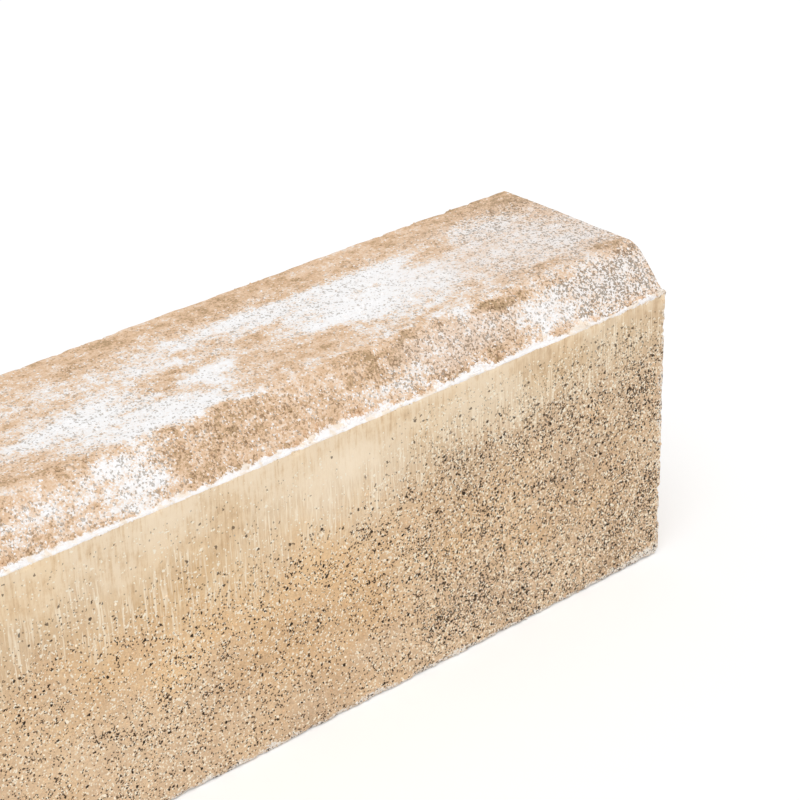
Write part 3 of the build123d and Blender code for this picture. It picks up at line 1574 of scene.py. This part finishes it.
@dataclass(frozen=True)
class ConcreteFinish:
    """Pressed concrete: its struck and cast faces, the white crest of its lip and its fresh breaks."""

    grain: GrainFinish = GrainFinish()
    struck: StruckFinish = StruckFinish()
    cast: CastFinish = CastFinish()
    broken: Colour = (0.90, 0.85, 0.78)
    broken_tone: float = 0.8
    broken_edge: Ramp = Ramp(0.38, 0.78, 0.90)
    broken_pits: Trend = Trend(-0.85, 1.0)
    lip: Colour = (0.985, 0.955, 0.945)
    lip_tone: float = 0.14
    lip_blotch: float = 1.1
    lip_edge: Ramp = Ramp(0.42, 0.62)
    cream: Colour = (0.93, 0.82, 0.70)
    cream_patches: Noise = Noise(0.011, 3.0, 0.70)
    cream_edge: Ramp = Ramp(0.52, 0.40)

    # Bump and sheen
    fleck_height: float = 0.5
    pit_height: float = -1.4
    blotch_height: float = 0.8
    streak_height: float = 0.5
    bump_strength: float = 0.6
    bump_distance: float = 0.0009
    roughness: Trend = Trend(0.14, 0.80)
    specular: float = 0.25

    def material(self) -> bpy.types.Material:
        """Makes the material of the skin and of its grains.

        Returns:
            The material.
        """
        material = bpy.data.materials.new("pressed_concrete")
        sheet = ShaderSheet(material)
        cast = sheet.cast()
        pattern = self.grain.pattern(sheet)
        colour = sheet.mix(cast, self.struck.colour(sheet, pattern), self.cast.colour(sheet, pattern))
        shader = sheet.add("ShaderNodeBsdfPrincipled", {
            "Base Color": self.with_lip(sheet, pattern, self.with_breaks(sheet, pattern, colour)),
            "Roughness": sheet.line(pattern.tone, self.roughness),
            "Specular IOR Level": self.specular,
            "Normal": self.bump(sheet, pattern, cast),
        })
        sheet.add("ShaderNodeOutputMaterial", {"Surface": shader.outputs[0]})
        return material

    def with_breaks(self, sheet: ShaderSheet, pattern: GrainPattern, colour: Socket) -> Socket:
        """Lays pale fresh breaks over a colour.

        Args:
            sheet: the material's tree.
            pattern: the grains.
            colour: the colour below.

        Returns:
            The colour.
        """
        fresh = sheet.total(sheet.trait(Trait.FRESH), sheet.swing(pattern.tone, self.broken_tone))
        unpitted = sheet.line(pattern.pits, self.broken_pits)
        return sheet.mix(sheet.times(sheet.step(fresh, self.broken_edge), unpitted), colour, self.broken)

    def with_lip(self, sheet: ShaderSheet, pattern: GrainPattern, colour: Socket) -> Socket:
        """Lays the lip's white crest, with its cream patches, over a colour.

        Args:
            sheet: the material's tree.
            pattern: the grains.
            colour: the colour below.

        Returns:
            The colour.
        """
        share = sheet.total(
            sheet.trait(Trait.LIP),
            sheet.swing(pattern.tone, self.lip_tone),
            sheet.swing(pattern.blotch, self.lip_blotch),
        )
        cream = sheet.step(sheet.noise(self.cream_patches), self.cream_edge)
        return sheet.mix(sheet.step(share, self.lip_edge), colour, sheet.mix(cream, self.lip, self.cream))

    def bump(self, sheet: ShaderSheet, pattern: GrainPattern, cast: Socket) -> Socket:
        """Raises the grains and flecks, and sinks the pits.

        Args:
            sheet: the material's tree.
            pattern: the grains.
            cast: 1 on the cast faces, which the streaks stand out of.

        Returns:
            The shading's normal.
        """
        height = sheet.total(
            sheet.times(pattern.tone, sheet.trait(Trait.SPECKLE)),
            sheet.times(pattern.flecks, self.fleck_height),
            sheet.times(pattern.pits, self.pit_height),
            sheet.times(pattern.blotch, self.blotch_height),
            sheet.times(sheet.swing(pattern.streak, self.streak_height), cast),
        )
        inputs = {"Strength": self.bump_strength, "Distance": self.bump_distance, "Height": height}
        return sheet.add("ShaderNodeBump", inputs).outputs[0]


@dataclass
class SandGrains:
    """Grains that stand out of the skin, scattered by Geometry Nodes."""

    name: str
    spacing: float
    densest: float
    smallest: float
    largest: float
    sunk: float
    sides: int
    rings: int
    seed: int
    cover: Trait = Trait.GRIT_COVER
    tones: Span = (0.10, 1.0)
    turn_seed: int = 11
    tone_seed: int = 23

    TONE = "grain_tone"

    def tree(self) -> bpy.types.NodeTree:
        """Builds the tree that scatters the grains over a mesh.

        Returns:
            The tree, with named inputs for its sizes.
        """
        tree = bpy.data.node_groups.new(self.name, "GeometryNodeTree")
        sheet = NodeSheet(tree)
        face = tree.interface
        face.new_socket("Geometry", in_out="INPUT", socket_type="NodeSocketGeometry")
        for name in ("Spacing", "Densest", "Smallest", "Largest", "Sunk"):
            face.new_socket(name, in_out="INPUT", socket_type="NodeSocketFloat")
        for name in ("Sides", "Rings", "Seed"):
            face.new_socket(name, in_out="INPUT", socket_type="NodeSocketInt")
        face.new_socket("Sand", in_out="INPUT", socket_type="NodeSocketMaterial")
        face.new_socket("Geometry", in_out="OUTPUT", socket_type="NodeSocketGeometry")
        given = sheet.add("NodeGroupInput").outputs
        cover = sheet.add("GeometryNodeInputNamedAttribute", {"Name": self.cover.value}, data_type="FLOAT")
        points = sheet.add("GeometryNodeDistributePointsOnFaces", {
            "Mesh": given["Geometry"],
            "Distance Min": given["Spacing"],
            "Density Max": given["Densest"],
            "Density Factor": cover.outputs["Attribute"],
            "Seed": given["Seed"],
        }, distribute_method="POISSON")
        offset = sheet.scaled(points.outputs["Normal"], given["Sunk"])
        sunk = sheet.add("GeometryNodeSetPosition", {
            "Geometry": points.outputs["Points"], "Offset": offset,
        })
        size = sheet.add("FunctionNodeRandomValue", {
            0: given["Smallest"], 1: given["Largest"], "Seed": given["Seed"],
        }, data_type="FLOAT_VECTOR")
        turn = sheet.add("FunctionNodeRandomValue", {
            0: (0.0, 0.0, 0.0), 1: (math.tau, math.tau, math.tau), "Seed": self.turn_seed,
        }, data_type="FLOAT_VECTOR")
        grain = sheet.add("GeometryNodeMeshUVSphere", {
            "Segments": given["Sides"], "Rings": given["Rings"], "Radius": 1.0,
        })
        placed = sheet.add("GeometryNodeInstanceOnPoints", {
            "Points": sunk.outputs[0],
            "Instance": grain.outputs["Mesh"],
            "Rotation": turn.outputs[0],
            "Scale": size.outputs[0],
        })
        darkest, palest = self.tones
        tone = sheet.add("FunctionNodeRandomValue", {
            2: darkest, 3: palest, "Seed": self.tone_seed,
        }, data_type="FLOAT")
        toned = sheet.add("GeometryNodeStoreNamedAttribute", {
            "Geometry": placed.outputs[0], "Name": self.TONE, "Value": tone.outputs[1],
        }, data_type="FLOAT", domain="INSTANCE")
        real = sheet.add("GeometryNodeRealizeInstances", {"Geometry": toned.outputs[0]})
        dressed = sheet.add("GeometryNodeSetMaterial", {
            "Geometry": real.outputs[0], "Material": given["Sand"],
        })
        sheet.add("NodeGroupOutput", {"Geometry": dressed.outputs[0]})
        return tree

    def build(self, skin: bpy.types.Object, sand: bpy.types.Material) -> bpy.types.Object:
        """Scatters the grains over the skin and keeps them as a plain mesh.

        Args:
            skin: the block's surface, with its traits.
            sand: the grains' material.

        Returns:
            The grains' object.
        """
        tree = self.tree()
        values = {
            "Spacing": self.spacing,
            "Densest": self.densest,
            "Smallest": self.smallest,
            "Largest": self.largest,
            "Sunk": -self.sunk,
            "Sides": self.sides,
            "Rings": self.rings,
            "Seed": self.seed,
            "Sand": sand,
        }
        modifier = skin.modifiers.new(self.name, "NODES")
        modifier.node_group = tree
        for socket in tree.interface.items_tree:
            if socket.in_out == "INPUT" and socket.name in values:
                modifier[socket.identifier] = values[socket.name]
        graph = bpy.context.evaluated_depsgraph_get()
        scattered = skin.evaluated_get(graph)
        mesh = bpy.data.meshes.new_from_object(scattered, preserve_all_data_layers=True, depsgraph=graph)
        mesh.name = self.name
        # The first slot is the plain sphere's own, and empty
        mesh.materials.pop(index=0)
        skin.modifiers.remove(modifier)
        grains = bpy.data.objects.new(self.name, mesh)
        bpy.context.scene.collection.objects.link(grains)
        return grains


@dataclass(frozen=True)
class PhotoCamera:
    """The photograph's viewpoint, solved from the block's own edges."""

    place: Place = (-0.5376, -1.0261, 0.8372)
    heading: float = math.radians(49.495)
    dip: float = math.radians(27.133)
    roll: float = math.radians(-1.564)
    focal_pixels: float = 2411.3
    frame_pixels: float = 800.0
    sensor: float = 36.0

    def build(self) -> bpy.types.Object:
        """Makes the camera and gives it to the scene.

        Returns:
            The camera's object.
        """
        level = math.cos(self.dip)
        east, north = level * math.cos(self.heading), level * math.sin(self.heading)
        ahead = Vector((east, north, -math.sin(self.dip)))
        right = Vector((math.sin(self.heading), -math.cos(self.heading), 0.0))
        up = right.cross(ahead)
        rolled_right = right * math.cos(self.roll) + up * math.sin(self.roll)
        rolled_up = up * math.cos(self.roll) - right * math.sin(self.roll)
        turn = Matrix((rolled_right, rolled_up, -ahead)).transposed()
        data = bpy.data.cameras.new("photo_camera")
        data.sensor_fit = "HORIZONTAL"
        data.sensor_width = self.sensor
        data.lens = self.sensor * self.focal_pixels / self.frame_pixels
        camera = bpy.data.objects.new("photo_camera", data)
        camera.matrix_world = Matrix.Translation(self.place) @ turn.to_4x4()
        bpy.context.scene.collection.objects.link(camera)
        bpy.context.scene.camera = camera
        return camera


@dataclass(frozen=True)
class Studio:
    """A white floor and world, with a wide soft lamp above the road side."""

    floor_half: float = 6.0
    floor_drop: float = 0.0003
    floor_white: float = 0.86
    floor_lift: float = 0.16
    sky: float = 0.56
    lamp_strength: float = 1.62
    lamp_spread: float = math.radians(50.0)
    lamp_from: Place = (-0.22, -0.42, 0.88)

    def build(self) -> bpy.types.Object:
        """Makes the floor, the lamp and the world.

        Returns:
            The floor.
        """
        self.make_world()
        data = bpy.data.lights.new("soft_lamp", "SUN")
        data.energy = self.lamp_strength
        data.angle = self.lamp_spread
        lamp = bpy.data.objects.new("soft_lamp", data)
        lamp.rotation_euler = Vector(self.lamp_from).to_track_quat("Z", "Y").to_euler()
        bpy.context.scene.collection.objects.link(lamp)
        half = self.floor_half
        mesh = bpy.data.meshes.new("floor")
        level = -self.floor_drop
        corners = [(-half, -half, level), (half, -half, level), (half, half, level), (-half, half, level)]
        mesh.from_pydata(corners, [], [(0, 1, 2, 3)])
        mesh.materials.append(self.floor_material())
        floor = bpy.data.objects.new("floor", mesh)
        bpy.context.scene.collection.objects.link(floor)
        return floor

    def seen_white(self, sheet: NodeSheet) -> Socket:
        """Gives 1 for rays that show the background straight or in a reflection, else 0.

        Args:
            sheet: the node tree.

        Returns:
            The output that says so.
        """
        path = sheet.add("ShaderNodeLightPath").outputs
        straight = sheet.math("MAXIMUM", path["Is Camera Ray"], path["Is Glossy Ray"])
        return sheet.math("MAXIMUM", straight, path["Is Transmission Ray"])

    def make_world(self) -> None:
        """Lights the world evenly, and shows it white."""
        world = bpy.data.worlds.new("studio")
        world.use_nodes = True
        sheet = NodeSheet(world.node_tree)
        inputs = {"Value": self.seen_white(sheet), "To Min": self.sky, "To Max": 1.0}
        strength = sheet.add("ShaderNodeMapRange", inputs)
        back = sheet.add("ShaderNodeBackground", {"Color": WHITE, "Strength": strength.outputs[0]})
        sheet.add("ShaderNodeOutputWorld", {"Surface": back.outputs[0]})
        bpy.context.scene.world = world

    def floor_material(self) -> bpy.types.Material:
        """Makes a matt white that shows a little brighter than it lights, and keeps its shadows.

        Returns:
            The material.
        """
        material = bpy.data.materials.new("studio_floor")
        material.use_nodes = True
        sheet = NodeSheet(material.node_tree)
        white = (self.floor_white, self.floor_white, self.floor_white, 1.0)
        matt = sheet.add("ShaderNodeBsdfDiffuse", {"Color": white})
        lift = sheet.math("MULTIPLY", self.seen_white(sheet), self.floor_lift)
        glow = sheet.add("ShaderNodeEmission", {"Color": WHITE, "Strength": lift})
        both = sheet.add("ShaderNodeAddShader", {0: matt.outputs[0], 1: glow.outputs[0]})
        sheet.add("ShaderNodeOutputMaterial", {"Surface": both.outputs[0]})
        return material


def report(piece: bpy.types.Object) -> None:
    """Logs a finished piece and its triangles."""
    piece.data.calc_loop_triangles()
    LOG.info("%s: %d triangles", piece.name, len(piece.data.loop_triangles))


def main() -> None:
    """Builds the block, its grains and the studio, and ties the pieces to the frame."""
    logging.basicConfig(level=logging.INFO, format="%(name)s %(message)s")
    bpy.context.scene.view_settings.view_transform = "Standard"
    low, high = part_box(CAD_NODE)
    size = high - low
    section = KerbSection(width=size.y, height=size.z)
    weathering = Weathering(length=size.x, crease=section.crease_across, lip=section.lip_across)
    skin = KerbSkin(section, weathering, length=size.x).build()
    concrete = ConcreteFinish().material()
    skin.data.materials.append(concrete)

    layers = (
        SandGrains(
            "coarse_sand", spacing=0.0044, densest=60000.0, smallest=0.0006, largest=0.0013, sunk=0.0003,
            sides=6, rings=3, seed=3,
        ),
        SandGrains(
            "fine_sand", spacing=0.0026, densest=120000.0, smallest=0.0004, largest=0.0008, sunk=0.0002,
            sides=5, rings=2, seed=5,
        ),
        SandGrains(
            "lip_crumbs", spacing=0.0018, densest=400000.0, smallest=0.0007, largest=0.0022, sunk=0.0003,
            sides=6, rings=3, seed=9, cover=Trait.CRUMB_COVER,
        ),
    )
    grains = [layer.build(skin, concrete) for layer in layers]
    for piece in (skin, *grains):
        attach(piece, BODY)
        report(piece)
    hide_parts(CAD_NODE)

    PhotoCamera().build()
    Studio().build()


if __name__ == "__main__":
    main()
